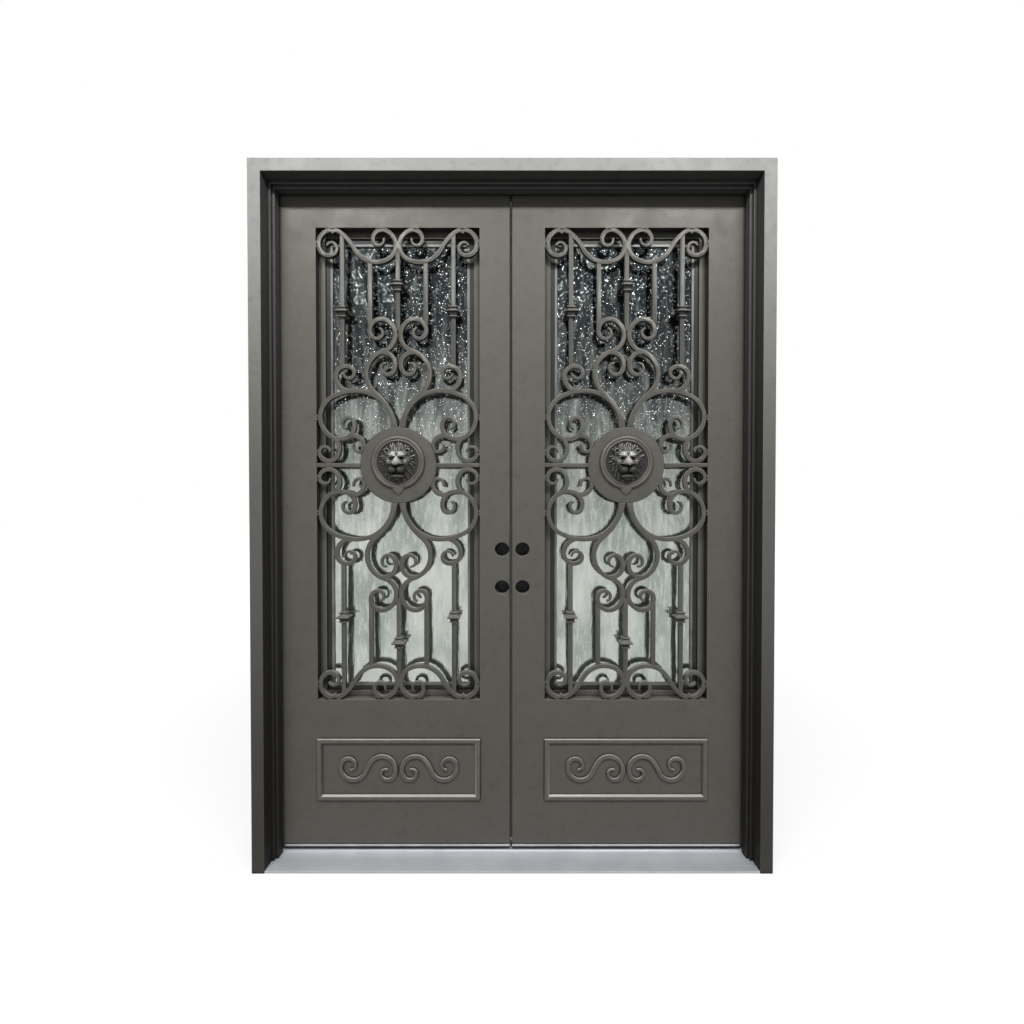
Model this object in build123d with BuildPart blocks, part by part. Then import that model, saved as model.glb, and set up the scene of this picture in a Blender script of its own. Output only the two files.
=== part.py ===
from build123d import *
import os
from math import cos, radians, sin

# A pair of wrought iron entry doors in their steel frame. The frame stands on z = 0 with the
# wall plane along X. The outside is towards -Y, and both leaves swing inwards, towards +Y.

# Frame
frame_width = 1829.0
frame_height = 2489.0
frame_depth = 150.0
face_width = 45.0
first_step_depth = 45.0
first_step_width = 10.0
second_step_depth = 10.0
stop_width = 9.5
frame_edge_round = 2.0

# Threshold
sill_thickness = 8.0
saddle_height = 14.0
saddle_chamfer = 3.0

# Clearances of the leaves
jamb_gap = 6.0
stop_gap = 6.0
sill_gap = 6.0
meeting_gap = 8.5
meeting_offset = -4.75
seal_width = 10.0
seal_height = 1.0
seal_inset = 2.0

# Leaves
leaf_thickness = 60.0
leaf_edge_round = 2.0
hinge_stile_width = 143.5
lock_side_reach = 120.0
top_rail_height = 130.5
kick_panel_top = 572.5
ledge_width = 23.0
ledge_thickness = 6.0
ledge_set_back = 28.0
lock_box_bottom = 930.0
lock_box_height = 260.0

# Lock holes
bore_radius = 26.0
bore_offset = 38.0
latch_height = 989.0
bolt_height = 1129.0

# Inner sash and glass
sash_play = 3.0
sash_bar = 37.0
sash_thickness = 24.0
bead_width = 8.0
bead_thickness = 6.0
glass_thickness = 10.0
glass_bite = 8.0

# Scrollwork bars
bar_width = 16.0
bar_depth = 14.0
tip_width = 8.0
taper_length = 95.0
mid_bar_width = 15.0
tab_width = 10.0
tab_length = 20.0

# Collars cast round the bars
collar_plate = 47.0
collar_plate_thickness = 5.0
collar_neck = 23.0
collar_flare = 12.0
collar_rib = 30.0
collar_rib_thickness = 5.0

# Round plate and its roundel
plate_radius = 140.5
plate_bevel = 1.5
ring_radius = 99.0
ring_height = 11.0
ring_bevel = 4.0
groove_radius = 84.5
groove_height = 5.0
inner_ring_height = 9.0
inner_ring_bevel = 2.5
dish_radius = 76.0
dish_height = 3.0
drop_width = 46.0
drop_shoulder = 38.0
drop_length = 34.0
drop_height = 9.0
drop_bevel = 3.0

# Head of the lion: sizes across, places from its middle, and heights over the plate
mane_radius = 58.0
mane_height = 10.0
mane_locks = 20
crown_radius = 42.0
crown_height = 18.0
crown_locks = 14
lock_height = 5.0
lock_length = 27.0
lock_width = 15.0
head_width = 66.0
head_length = 86.0
head_height = 27.0
head_corner = 30.0
head_bevel = 8.0
muzzle_width = 46.0
muzzle_length = 36.0
muzzle_drop = 21.0
muzzle_height = 42.0
muzzle_corner = 14.0
muzzle_bevel = 6.0
nose_rise = 13.0
brow_height = 31.0
brow_rise = 19.0
bridge_width = 17.0
jaw_width = 36.0
jaw_length = 16.0
jaw_drop = 49.0
jaw_height = 32.0
jaw_corner = 6.0
jaw_bevel = 3.0
eye_spread = 20.0
eye_rise = 13.0
eye_radius = 6.0
eye_depth = 6.0
ear_spread = 37.0
ear_rise = 42.0
ear_radius = 10.0
ear_height = 25.0
ear_bevel = 3.0

# Kick panel
moulding_bottom = 200.0
moulding_height = 228.0
moulding_lap = 1.5
moulding_bar = 20.0
moulding_depth = 8.0
moulding_outer_chamfer = 2.0
moulding_inner_chamfer = 6.0
kick_bar_width = 15.0
kick_bar_depth = 7.0

# Sweep along the bottom of each leaf
sweep_height = 15.0
sweep_thickness = 2.0

# Hinges
knuckle_radius = 10.0
knuckle_length = 55.0
knuckle_gap = 0.5
pin_radius = 5.0
pin_play = 0.3
pin_length = 45.0
hinge_plate = 5.0
hinge_plate_width = 40.0
hinge_web = 6.0
hinge_set_back = 12.0
hinge_inset = 240.0

# Places that follow from the sizes
half_width = frame_width / 2
front_y = -frame_depth / 2
back_y = frame_depth / 2
reveal_x = half_width - face_width
first_step_y = front_y + first_step_depth
second_step_y = first_step_y + second_step_depth
stop_x = reveal_x - first_step_width - stop_width
leaf_front = back_y - leaf_thickness
middle_y = (leaf_front + back_y) / 2
stop_y = leaf_front - stop_gap
leaf_outer_x = reveal_x - jamb_gap
leaf_bottom = saddle_height + sill_gap
frame_bottom = leaf_bottom + sweep_thickness
leaf_top = frame_height - face_width - jamb_gap
opening_top = leaf_top - top_rail_height
opening_height = opening_top - kick_panel_top
opening_width = leaf_outer_x - hinge_stile_width - lock_side_reach
opening_x = lock_side_reach + opening_width / 2
opening_z = kick_panel_top + opening_height / 2
hinge_x = leaf_outer_x + jamb_gap / 2
hinge_y = back_y + hinge_set_back
first_hinge = leaf_bottom + hinge_inset
last_hinge = leaf_top - hinge_inset
ledge_y = leaf_front + ledge_set_back
ledge_middle_y = ledge_y + ledge_thickness / 2
sash_y = ledge_y + ledge_thickness
glass_y = sash_y + bead_thickness
sash_width = opening_width - 2 * sash_play
sash_height = opening_height - 2 * sash_play
pane_width = sash_width - 2 * sash_bar
pane_height = sash_height - 2 * sash_bar

sides = (("left", -1), ("right", 1))

os.makedirs("parts", exist_ok=True)


def save(piece, name):
    """Label one finished piece and write it to its own file."""
    piece.part.label = name
    export_step(piece.part, f"parts/{name}.step")


def save_pair(piece, name):
    """Write the same piece for both leaves, each copy centred on that leaf's opening."""
    for side, sign in sides:
        with BuildPart() as copy:
            with Locations((sign * opening_x, 0, 0)):
                add(piece.part)
        save(copy, f"{side}_{name}")


def save_mirrored(piece, name):
    """Write a piece of the right-hand side and its mirror image for the left."""
    with BuildPart() as mirrored:
        mirror(piece.part, about=Plane.YZ)
    save(mirrored, f"left_{name}")
    save(piece, f"right_{name}")


def outside_plane(x, y, z):
    """A plane facing the outside, with its local X along X and its local Y upwards."""
    return Plane(origin=(x, y, z), x_dir=(1, 0, 0), z_dir=(0, -1, 0))


# The frame's section, drawn as distance in from the outer edge and depth through the wall
section_points = [
    (0, front_y),
    (face_width, front_y),
    (face_width, first_step_y),
    (face_width + first_step_width, first_step_y),
    (face_width + first_step_width, second_step_y),
    (half_width - stop_x, second_step_y),
    (half_width - stop_x, stop_y),
    (face_width, stop_y),
    (face_width, back_y),
    (0, back_y),
]
with BuildSketch() as frame_section:
    with BuildLine():
        Polyline(section_points, close=True)
    make_face()
    front_corners, *step_corners = frame_section.vertices().group_by(Axis.Y)[:3]
    nosings = [corners.sort_by(Axis.X)[-1] for corners in step_corners]
    fillet([*front_corners, *nosings], frame_edge_round)


def mitre_plane(sign):
    """The mitre between a jamb and the head, facing the head."""
    return Plane(origin=(sign * half_width, 0, frame_height), x_dir=(0, 1, 0), z_dir=(-sign, 0, 1))


# Frame: two jambs and a head, mitred at the corners
with BuildPart() as jamb:
    with BuildSketch(Plane(origin=(half_width, 0, 0), x_dir=(-1, 0, 0), z_dir=(0, 0, -1))):
        add(frame_section.sketch)
    extrude(amount=-frame_height)
    split(bisect_by=mitre_plane(1), keep=Keep.BOTTOM)
save_mirrored(jamb, "jamb")

with BuildPart() as head_jamb:
    with BuildSketch(Plane(origin=(0, 0, frame_height), x_dir=(0, 0, -1), z_dir=(1, 0, 0))):
        add(frame_section.sketch)
    extrude(amount=half_width, both=True)
    for sign in (-1, 1):
        split(bisect_by=mitre_plane(sign), keep=Keep.TOP)
save(head_jamb, "head_jamb")

# Threshold: a flat sill notched round the stops, with a raised saddle under the leaves
with BuildPart() as threshold:
    with BuildSketch(Plane.XY):
        with BuildLine():
            right_edge = [(half_width - u, v) for u, v in section_points[1:-1]]
            left_edge = [(-x, y) for x, y in reversed(right_edge)]
            Polyline(right_edge + left_edge, close=True)
        make_face()
    extrude(amount=sill_thickness)
    with BuildSketch(Plane.XY.offset(sill_thickness)):
        with Locations((0, (stop_y + back_y) / 2)):
            Rectangle(2 * reveal_x, back_y - stop_y)
    extrude(amount=saddle_height - sill_thickness)
    chamfer(threshold.edges().filter_by(Axis.X).group_by(Axis.Z)[-1].sort_by(Axis.Y)[0], saddle_chamfer)
save(threshold, "threshold")

# Weather seal round the inside of the stops
with BuildPart() as weather_seal:
    seal_x = reveal_x - seal_inset
    seal_top = frame_height - face_width - seal_inset
    with BuildSketch(outside_plane(0, stop_y, 0)):
        with Locations((0, saddle_height)):
            Rectangle(2 * seal_x, seal_top - saddle_height, align=(Align.CENTER, Align.MIN))
            Rectangle(
                2 * (seal_x - seal_width),
                seal_top - seal_width - saddle_height,
                align=(Align.CENTER, Align.MIN),
                mode=Mode.SUBTRACT,
            )
    extrude(amount=-seal_height)
save(weather_seal, "weather_seal")


# Hinge stile of each leaf, with the ledge that runs up the side of the opening
with BuildPart() as hinge_stile:
    with BuildSketch(Plane.XY.offset(frame_bottom)) as stile_plan:
        with Locations((leaf_outer_x - hinge_stile_width / 2, middle_y)):
            Rectangle(hinge_stile_width, leaf_thickness)
        fillet(stile_plan.vertices().group_by(Axis.X)[-1], leaf_edge_round)
    extrude(amount=leaf_top - frame_bottom)
    with BuildSketch(Plane.XY.offset(kick_panel_top)):
        with Locations((opening_x + (opening_width - ledge_width) / 2, ledge_middle_y)):
            Rectangle(ledge_width, ledge_thickness)
    extrude(amount=opening_height)
save_mirrored(hinge_stile, "hinge_stile")


def save_lock_side(side, sign):
    """Write the stile at the meeting edge: one length below its lock box and one above it."""
    inner_x = meeting_gap / 2 + sign * meeting_offset
    lock_width = lock_side_reach - inner_x
    lock_x = sign * (inner_x + lock_width / 2)
    ledge_x = sign * (lock_side_reach + ledge_width / 2)
    lock_box_top = lock_box_bottom + lock_box_height

    with BuildSketch() as lock_plan:
        with Locations((lock_x, middle_y)):
            Rectangle(lock_width, leaf_thickness)
        fillet(lock_plan.vertices().sort_by(Axis.X)[::sign][:2], leaf_edge_round)

    with BuildPart() as lock_stile:
        for bottom, top in ((frame_bottom, lock_box_bottom), (lock_box_top, leaf_top)):
            with BuildSketch(Plane.XY.offset(bottom)):
                add(lock_plan.sketch)
            extrude(amount=top - bottom)
        for bottom, top in ((kick_panel_top, lock_box_bottom), (lock_box_top, opening_top)):
            with BuildSketch(Plane.XY.offset(bottom)):
                with Locations((ledge_x, ledge_middle_y)):
                    Rectangle(ledge_width, ledge_thickness)
            extrude(amount=top - bottom)
    save(lock_stile, f"{side}_lock_stile")

    with BuildPart() as lock_box:
        with BuildSketch(Plane.XY.offset(lock_box_bottom)):
            add(lock_plan.sketch)
            with Locations((ledge_x, ledge_middle_y)):
                Rectangle(ledge_width, ledge_thickness)
        extrude(amount=lock_box_height)
        with Locations(
            outside_plane(sign * bore_offset, leaf_front, latch_height),
            outside_plane(sign * bore_offset, leaf_front, bolt_height),
        ):
            Hole(bore_radius, depth=leaf_thickness)
    save(lock_box, f"{side}_lock_box")

    # Sweep: an angle under and in front of the leaf's bottom edge
    with BuildPart() as bottom_sweep:
        with BuildSketch(Plane.YZ.offset(sign * inner_x)):
            with BuildLine():
                Polyline(
                    (leaf_front - sweep_thickness, leaf_bottom),
                    (leaf_front - sweep_thickness, leaf_bottom + sweep_height),
                    (leaf_front, leaf_bottom + sweep_height),
                    (leaf_front, frame_bottom),
                    (back_y, frame_bottom),
                    (back_y, leaf_bottom),
                    close=True,
                )
            make_face()
        extrude(amount=sign * (stop_x - jamb_gap - inner_x))
    save(bottom_sweep, f"{side}_bottom_sweep")


for side, sign in sides:
    save_lock_side(side, sign)

# Rail over the opening and panel under it, each with its length of the ledge
ledge_span = opening_width - 2 * ledge_width
for name, bottom, top, ledge_start, ledge_end in (
    ("top_rail", opening_top, leaf_top, opening_top, opening_top - ledge_width),
    ("kick_panel", frame_bottom, kick_panel_top, kick_panel_top, kick_panel_top + ledge_width),
):
    with BuildPart() as rail:
        with BuildSketch(Plane.XY.offset(bottom)):
            with Locations((0, middle_y)):
                Rectangle(opening_width, leaf_thickness)
        extrude(amount=top - bottom)
        with BuildSketch(Plane.XY.offset(ledge_start)):
            with Locations((0, ledge_middle_y)):
                Rectangle(ledge_span, ledge_thickness)
        extrude(amount=ledge_end - ledge_start)
    save_pair(rail, name)

# Sash behind the ledge, the bead that holds the glass in it, and the glass
with BuildPart() as sash:
    with BuildSketch(outside_plane(0, sash_y, opening_z)):
        Rectangle(sash_width, sash_height)
        Rectangle(pane_width, pane_height, mode=Mode.SUBTRACT)
    extrude(amount=-sash_thickness)
    with BuildSketch(outside_plane(0, glass_y, opening_z)):
        Rectangle(pane_width + 2 * glass_bite, pane_height + 2 * glass_bite)
    extrude(amount=-glass_thickness, mode=Mode.SUBTRACT)
save_pair(sash, "sash")

with BuildPart() as glazing_bead:
    with BuildSketch(outside_plane(0, sash_y, opening_z)):
        Rectangle(pane_width, pane_height)
        Rectangle(pane_width - 2 * bead_width, pane_height - 2 * bead_width, mode=Mode.SUBTRACT)
    extrude(amount=-bead_thickness)
save_pair(glazing_bead, "glazing_bead")

with BuildPart() as glass:
    with BuildSketch(outside_plane(0, glass_y, opening_z)):
        Rectangle(pane_width + 2 * glass_bite, pane_height + 2 * glass_bite)
    extrude(amount=-glass_thickness)
save_pair(glass, "glass")

# One quarter of the scrollwork, drawn from the centre of the round plate towards the upper left
# corner of an opening 600 wide and 1735 high. It stretches with the opening.
stretch_x = opening_width / 600
stretch_z = opening_height / 1735

# Each scroll is its start, its heading, its tangent arcs as radius and turn, and whether it
# starts and ends in a thin tip. A positive turn is anticlockwise.
quarter_scrolls = (
    # Corner scroll, sweeping down and up again to the scroll beside the centre line
    (
        (-259, 803), 78,
        (
            (16, -108), (23.5, -121), (36, -95), (51, -151), (168, -26),
            (91, 89), (58, 135), (34, 121), (20, 188),
        ),
        True, True,
    ),
    # Heart, from the scroll under the inner bar down into the round plate
    (
        (-70, 503), 346,
        ((18.5, -102), (22, -39), (24, -95), (42, -137), (61, -137), (88, 125), (208, -50)),
        True, False,
    ),
    # Inner scroll of the heart
    ((-59, 414), 5, ((45, -129), (27, -38), (23.5, -130), (15.5, -80)), False, True),
    # Side loop, from the round plate to the stile and back to its own scroll
    (
        (-20, 106), 86,
        (
            (600, 3), (134, 89), (183, 31), (85, 105), (68, 60),
            (48, 98), (20.5, 116), (30, 33), (16.5, 95),
        ),
        False, True,
    ),
    # Small scroll between the side loop and the round plate
    ((-188, 102), 35, ((39, -139), (15.5, -75), (23.5, -106)), False, True),
    # Small scroll between the side loop and the middle bar
    ((-230, 95), 311, ((52, -78), (36, -98), (30, -52), (19.5, -173)), False, True),
    # Scroll at the foot of the outer bar
    ((-200, 338), 268, ((19, 147), (22.5, 97), (38, 121), (55, 78)), True, False),
)

# Straight bars of a quarter: distance from the centre line, lower end and upper end
quarter_bars = ((204, 361, 848), (102, 512, 747), (0, 492, 788))

# Collars over the round plate, with the same under it: distance from the centre line and height
upper_collars = ((-204, 561), (0, 656), (204, 561))

# Weld tabs of a quarter, from a scroll out to the edge of the opening
side_tabs = (810, 175, 47)
top_tabs = (238,)

# S-scroll of the kick panel, left of its centre
kick_scroll = (
    (-180, -1), 350,
    ((17.5, 113), (27, 149), (47, 176), (172, -15), (50, -174), (25.5, -130), (17, -134)),
    True, True,
)


def draw_scroll(start, heading, arcs, tip_at_start, tip_at_end, width=bar_width, squeeze=(1, 1)):
    """Outline one scroll as two rows of arcs either side of its centre line."""
    length = sum(radius * radians(abs(turn)) for radius, turn in arcs)
    centre_x, centre_y = start
    travelled = 0
    left_points = []
    right_points = []

    def add_pair(x, y, angle, distance):
        """Add one point to each side, as far apart as the bar is wide at this distance."""
        from_start = distance if tip_at_start else taper_length
        from_end = length - distance if tip_at_end else taper_length
        full = min(1, from_start / taper_length, from_end / taper_length)
        half = (tip_width + (width - tip_width) * full) / 2
        x *= squeeze[0]
        y *= squeeze[1]
        left_points.append((x - half * sin(angle), y + half * cos(angle)))
        right_points.append((x + half * sin(angle), y - half * cos(angle)))

    add_pair(centre_x, centre_y, radians(heading), travelled)
    for radius, turn in arcs:
        hand = 1 if turn > 0 else -1
        pivot_x = centre_x - hand * radius * sin(radians(heading))
        pivot_y = centre_y + hand * radius * cos(radians(heading))
        for share in (0.5, 1.0):
            angle = radians(heading + turn * share)
            centre_x = pivot_x + hand * radius * sin(angle)
            centre_y = pivot_y - hand * radius * cos(angle)
            add_pair(centre_x, centre_y, angle, travelled + share * radius * radians(abs(turn)))
        heading += turn
        travelled += radius * radians(abs(turn))
    for points in (left_points, right_points):
        for index in range(0, len(points) - 2, 2):
            ThreePointArc(points[index], points[index + 1], points[index + 2])
    Line(left_points[0], right_points[0])
    Line(left_points[-1], right_points[-1])


# Scrolls of the whole opening, with their weld tabs, cut out for the round plate
with BuildSketch() as scroll_lines:
    for start, heading, arcs, tip_at_start, tip_at_end in quarter_scrolls:
        with BuildLine():
            draw_scroll(start, heading, arcs, tip_at_start, tip_at_end, squeeze=(stretch_x, stretch_z))
        make_face()
    with Locations(*[(-opening_width / 2, height * stretch_z) for height in side_tabs]):
        Rectangle(tab_length, tab_width)
    with Locations(*[(-offset * stretch_x, opening_height / 2) for offset in top_tabs]):
        Rectangle(tab_width, 2 * tab_length)
    mirror(about=Plane.YZ)
    mirror(about=Plane.XZ)
    Rectangle(opening_width, opening_height, mode=Mode.INTERSECT)
    Circle(plate_radius, mode=Mode.SUBTRACT)

# Collar: a square plate between two flares, each running into a neck and a rib
neck_height = collar_plate_thickness / 2 + collar_flare
rib_height = neck_height + collar_rib_thickness
with BuildSketch() as collar_side:
    with BuildLine():
        Polyline(
            (0, rib_height),
            (collar_rib / 2, rib_height),
            (collar_rib / 2, neck_height),
            (collar_neck / 2, neck_height),
        )
        TangentArc(
            (collar_neck / 2, neck_height),
            (collar_plate / 2, collar_plate_thickness / 2),
            tangent=(0, -1),
        )
        Polyline(
            (collar_plate / 2, collar_plate_thickness / 2),
            (collar_plate / 2, 0),
            (0, 0),
            (0, rib_height),
        )
    make_face()
    mirror(about=Plane.XZ)
    mirror(about=Plane.YZ)
with BuildPart() as collar:
    with BuildSketch(Plane.XZ):
        add(collar_side.sketch)
    extrude(amount=collar_plate, both=True)
    with BuildSketch(Plane.YZ):
        add(collar_side.sketch)
    extrude(amount=collar_plate, both=True, mode=Mode.INTERSECT)

# Scrollwork, flush with the face of the leaf
grille_plane = outside_plane(0, leaf_front, opening_z)
with BuildPart() as grille_scrolls:
    with BuildSketch(grille_plane):
        add(scroll_lines.sketch)
    extrude(amount=-bar_depth)
save_pair(grille_scrolls, "grille_scrolls")

with BuildPart() as grille_bars:
    with BuildSketch(grille_plane):
        for offset, lower, upper in quarter_bars:
            with Locations((-offset * stretch_x, (lower + upper) / 2 * stretch_z)):
                Rectangle(bar_width, (upper - lower) * stretch_z)
        mirror(about=Plane.YZ)
        mirror(about=Plane.XZ)
        Rectangle(opening_width, mid_bar_width)
        Circle(plate_radius, mode=Mode.SUBTRACT)
        add(scroll_lines.sketch, mode=Mode.SUBTRACT)
    extrude(amount=-bar_depth)
    for x, height in upper_collars:
        for z in (height, -height):
            with Locations((x * stretch_x, leaf_front + bar_depth / 2, opening_z + z * stretch_z)):
                add(collar.part)
save_pair(grille_bars, "grille_bars")

with BuildPart() as round_plate:
    with BuildSketch(grille_plane):
        Circle(plate_radius)
    extrude(amount=-bar_depth)
    chamfer(round_plate.edges().sort_by(Axis.Y)[0], plate_bevel)
save_pair(round_plate, "round_plate")


def make_lock(height):
    """One lock of the mane, pointed at both ends and ridged along its length."""
    with BuildPart() as lock:
        with BuildSketch(Plane.XY):
            Polygon(
                (-lock_length / 2, 0),
                (-lock_length / 6, -lock_width / 2),
                (lock_length / 2, 0),
                (-lock_length / 6, lock_width / 2),
                align=None,
            )
        extrude(amount=height)
        with BuildSketch(Plane.YZ):
            Polygon(
                (-lock_width / 2, 0),
                (lock_width / 2, 0),
                (lock_width / 2, height - lock_height),
                (0, height),
                (-lock_width / 2, height - lock_height),
                align=None,
            )
        extrude(amount=lock_length, both=True, mode=Mode.INTERSECT)
    return lock.part


def make_pad(width, length, corner, height, bevel):
    """One rounded block of the head, bevelled round its top."""
    with BuildPart() as pad:
        with BuildSketch(Plane.XY):
            RectangleRounded(width, length, corner)
        extrude(amount=height)
        chamfer(pad.faces().sort_by(Axis.Z)[-1].edges(), bevel)
    return pad.part


# Head, muzzle and jaw, each with how far it lies under the middle of the round plate
head_pads = (
    (make_pad(head_width, head_length, head_corner, head_height, head_bevel), 0),
    (make_pad(muzzle_width, muzzle_length, muzzle_corner, muzzle_height, muzzle_bevel), muzzle_drop),
    (make_pad(jaw_width, jaw_length, jaw_corner, jaw_height, jaw_bevel), jaw_drop),
)

# Drop: a small pointed leaf, bevelled round its top
with BuildPart() as drop:
    with BuildSketch(Plane.XY):
        Polygon(
            (-drop_width / 2, 0),
            (drop_width / 2, 0),
            (drop_shoulder / 2, -drop_length / 2),
            (0, -drop_length),
            (-drop_shoulder / 2, -drop_length / 2),
            align=None,
        )
    extrude(amount=drop_height)
    chamfer(drop.faces().sort_by(Axis.Z)[-1].edges(), drop_bevel)

# Ear: a short stub, bevelled round its top
with BuildPart() as ear:
    with BuildSketch(Plane.XY):
        Circle(ear_radius)
    extrude(amount=ear_height)
    chamfer(ear.edges().sort_by(Axis.Z)[-1], ear_bevel)

# Roundel: two rings round a dish, a drop below them, and the head of a lion in relief
with BuildPart() as lion_roundel:
    with BuildSketch(Plane(origin=grille_plane.origin, x_dir=(1, 0, 0), z_dir=(0, 0, -1))):
        with BuildLine():
            Polyline(
                (ring_radius, 0),
                (ring_radius, ring_height - ring_bevel),
                (ring_radius - ring_bevel, ring_height),
                (groove_radius + ring_bevel, ring_height),
                (groove_radius, groove_height),
                (groove_radius - inner_ring_bevel, inner_ring_height),
                (dish_radius + inner_ring_bevel, inner_ring_height),
                (dish_radius, dish_height),
                (mane_radius, dish_height),
                (mane_radius, mane_height - lock_height),
                (crown_radius, mane_height - lock_height),
                (crown_radius, crown_height - lock_height),
                (0, crown_height - lock_height),
                (0, 0),
                close=True,
            )
        make_face()
    revolve(axis=Axis(grille_plane.origin, (0, -1, 0)))

    # Drop, hanging from the rings
    with Locations(outside_plane(0, leaf_front, opening_z - groove_radius)):
        add(drop.part)

    # Mane: two rings of locks
    for radius, height, count in (
        (mane_radius, mane_height, mane_locks),
        (crown_radius, crown_height, crown_locks),
    ):
        with Locations(grille_plane):
            with PolarLocations(radius, count):
                add(make_lock(height))

    # Head, with the bridge of the nose falling from the brow to the muzzle
    for pad, below in head_pads:
        with Locations(outside_plane(0, leaf_front, opening_z - below)):
            add(pad)
    with BuildSketch(Plane.YZ):
        nose_z = opening_z - muzzle_drop + nose_rise
        Polygon(
            (leaf_front, nose_z),
            (leaf_front - muzzle_height, nose_z),
            (leaf_front - brow_height, opening_z + brow_rise),
            (leaf_front - crown_height, opening_z + head_length / 2),
            (leaf_front, opening_z + head_length / 2),
            align=None,
        )
    extrude(amount=bridge_width / 2, both=True)
    with Locations(
        outside_plane(-ear_spread, leaf_front, opening_z + ear_rise),
        outside_plane(ear_spread, leaf_front, opening_z + ear_rise),
    ):
        add(ear.part)

    # Hollows of the eyes
    with Locations(
        outside_plane(-eye_spread, leaf_front - head_height, opening_z + eye_rise),
        outside_plane(eye_spread, leaf_front - head_height, opening_z + eye_rise),
    ):
        Hole(eye_radius, depth=eye_depth)
save_pair(lion_roundel, "lion_roundel")

# Kick panel: a raised moulding that falls inwards, and a pair of mirrored scrolls
moulding_width = opening_width + 2 * moulding_lap
kick_plane = outside_plane(0, leaf_front, moulding_bottom + moulding_height / 2)
with BuildPart() as kick_moulding:
    with BuildSketch(kick_plane):
        Rectangle(moulding_width, moulding_height)
        Rectangle(
            moulding_width - 2 * moulding_bar,
            moulding_height - 2 * moulding_bar,
            mode=Mode.SUBTRACT,
        )
    extrude(amount=moulding_depth)
    raised_face = kick_moulding.faces().sort_by(Axis.Y)[0]
    chamfer(raised_face.outer_wire().edges(), moulding_outer_chamfer)
    chamfer(kick_moulding.faces().sort_by(Axis.Y)[0].inner_wires()[0].edges(), moulding_inner_chamfer)
save_pair(kick_moulding, "kick_moulding")

with BuildPart() as kick_scrolls:
    with BuildSketch(kick_plane):
        start, heading, arcs, tip_at_start, tip_at_end = kick_scroll
        with BuildLine():
            draw_scroll(start, heading, arcs, tip_at_start, tip_at_end, width=kick_bar_width)
        make_face()
        mirror(about=Plane.YZ)
    extrude(amount=kick_bar_depth)
save_pair(kick_scrolls, "kick_scrolls")

# Hinges: a knuckle on the jamb with its pin, and a knuckle on the leaf over it
hinge_heights = (first_hinge, (first_hinge + last_hinge) / 2, last_hinge)
with BuildPart() as jamb_hinges:
    for height in hinge_heights:
        with BuildSketch(Plane.XY.offset(height)):
            with Locations((hinge_x, hinge_y)):
                Circle(knuckle_radius)
            with Locations((hinge_x + hinge_plate_width / 2, back_y + hinge_plate / 2)):
                Rectangle(hinge_plate_width, hinge_plate)
            with Locations((hinge_x + knuckle_radius - hinge_web / 2, (back_y + hinge_y) / 2)):
                Rectangle(hinge_web, hinge_set_back)
        extrude(amount=-knuckle_length)
        with BuildSketch(Plane.XY.offset(height)):
            with Locations((hinge_x, hinge_y)):
                Circle(pin_radius)
        extrude(amount=pin_length)
save_mirrored(jamb_hinges, "jamb_hinges")

with BuildPart() as leaf_hinges:
    for height in hinge_heights:
        with BuildSketch(Plane.XY.offset(height + knuckle_gap)):
            with Locations((hinge_x, hinge_y)):
                Circle(knuckle_radius)
            with Locations((leaf_outer_x - hinge_plate_width / 2, back_y + hinge_plate / 2)):
                Rectangle(hinge_plate_width, hinge_plate)
            with Locations((hinge_x - knuckle_radius + hinge_web / 2, (back_y + hinge_y) / 2)):
                Rectangle(hinge_web, hinge_set_back)
        extrude(amount=knuckle_length)
        with BuildSketch(Plane.XY.offset(height + knuckle_gap)):
            with Locations((hinge_x, hinge_y)):
                Circle(pin_radius + pin_play)
        extrude(amount=pin_length + pin_play, mode=Mode.SUBTRACT)
save_mirrored(leaf_hinges, "leaf_hinges")
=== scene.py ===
# %% [markdown]
# # A pair of wrought iron doors with lion heads
# The doors are already modelled as solids. This lesson dresses them: it gives every surface its
# finish, rounds the forged edges so that they catch the light, sculpts the cast lion heads, and
# sets up the camera and the lamps. We start by loading the solids as a fixed frame to build on.

# %% Load the frame
from math import cos, pi, radians, sin

import bmesh
import bpy
import numpy as np
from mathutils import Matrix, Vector


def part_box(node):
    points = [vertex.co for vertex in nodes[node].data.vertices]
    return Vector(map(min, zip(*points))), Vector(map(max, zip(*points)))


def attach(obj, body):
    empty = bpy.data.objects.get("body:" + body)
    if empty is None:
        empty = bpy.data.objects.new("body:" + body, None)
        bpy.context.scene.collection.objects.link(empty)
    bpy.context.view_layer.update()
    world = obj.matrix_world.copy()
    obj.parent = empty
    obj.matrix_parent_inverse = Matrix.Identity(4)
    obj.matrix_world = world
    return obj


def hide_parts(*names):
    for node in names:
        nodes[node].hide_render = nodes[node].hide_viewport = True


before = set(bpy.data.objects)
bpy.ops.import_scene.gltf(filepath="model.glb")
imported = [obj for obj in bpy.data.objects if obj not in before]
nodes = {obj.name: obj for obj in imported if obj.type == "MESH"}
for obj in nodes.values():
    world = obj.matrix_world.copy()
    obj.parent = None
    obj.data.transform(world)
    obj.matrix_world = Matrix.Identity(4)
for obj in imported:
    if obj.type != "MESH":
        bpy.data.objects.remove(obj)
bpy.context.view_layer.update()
scene = bpy.context.scene
MM = 0.001
SIDES = (("left", -1), ("right", 1))

# %% [markdown]
# The places of our own pieces follow from the solids that they sit on, so that they stay right if
# a door is made wider or higher.

# %% Measure what the pieces sit on
plate_low, plate_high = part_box("right_round_plate")
PLATE_X = (plate_low.x + plate_high.x) / 2
PLATE_Z = (plate_low.z + plate_high.z) / 2
FACE_Y = plate_low.y
print(f"round plates at x {PLATE_X:.3f}, z {PLATE_Z:.3f}, face y {FACE_Y:.4f}")

# %% [markdown]
# The camera stands close to the doors with a wide lens, a little below the lion heads, and looks
# down by less than a degree.

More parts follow.
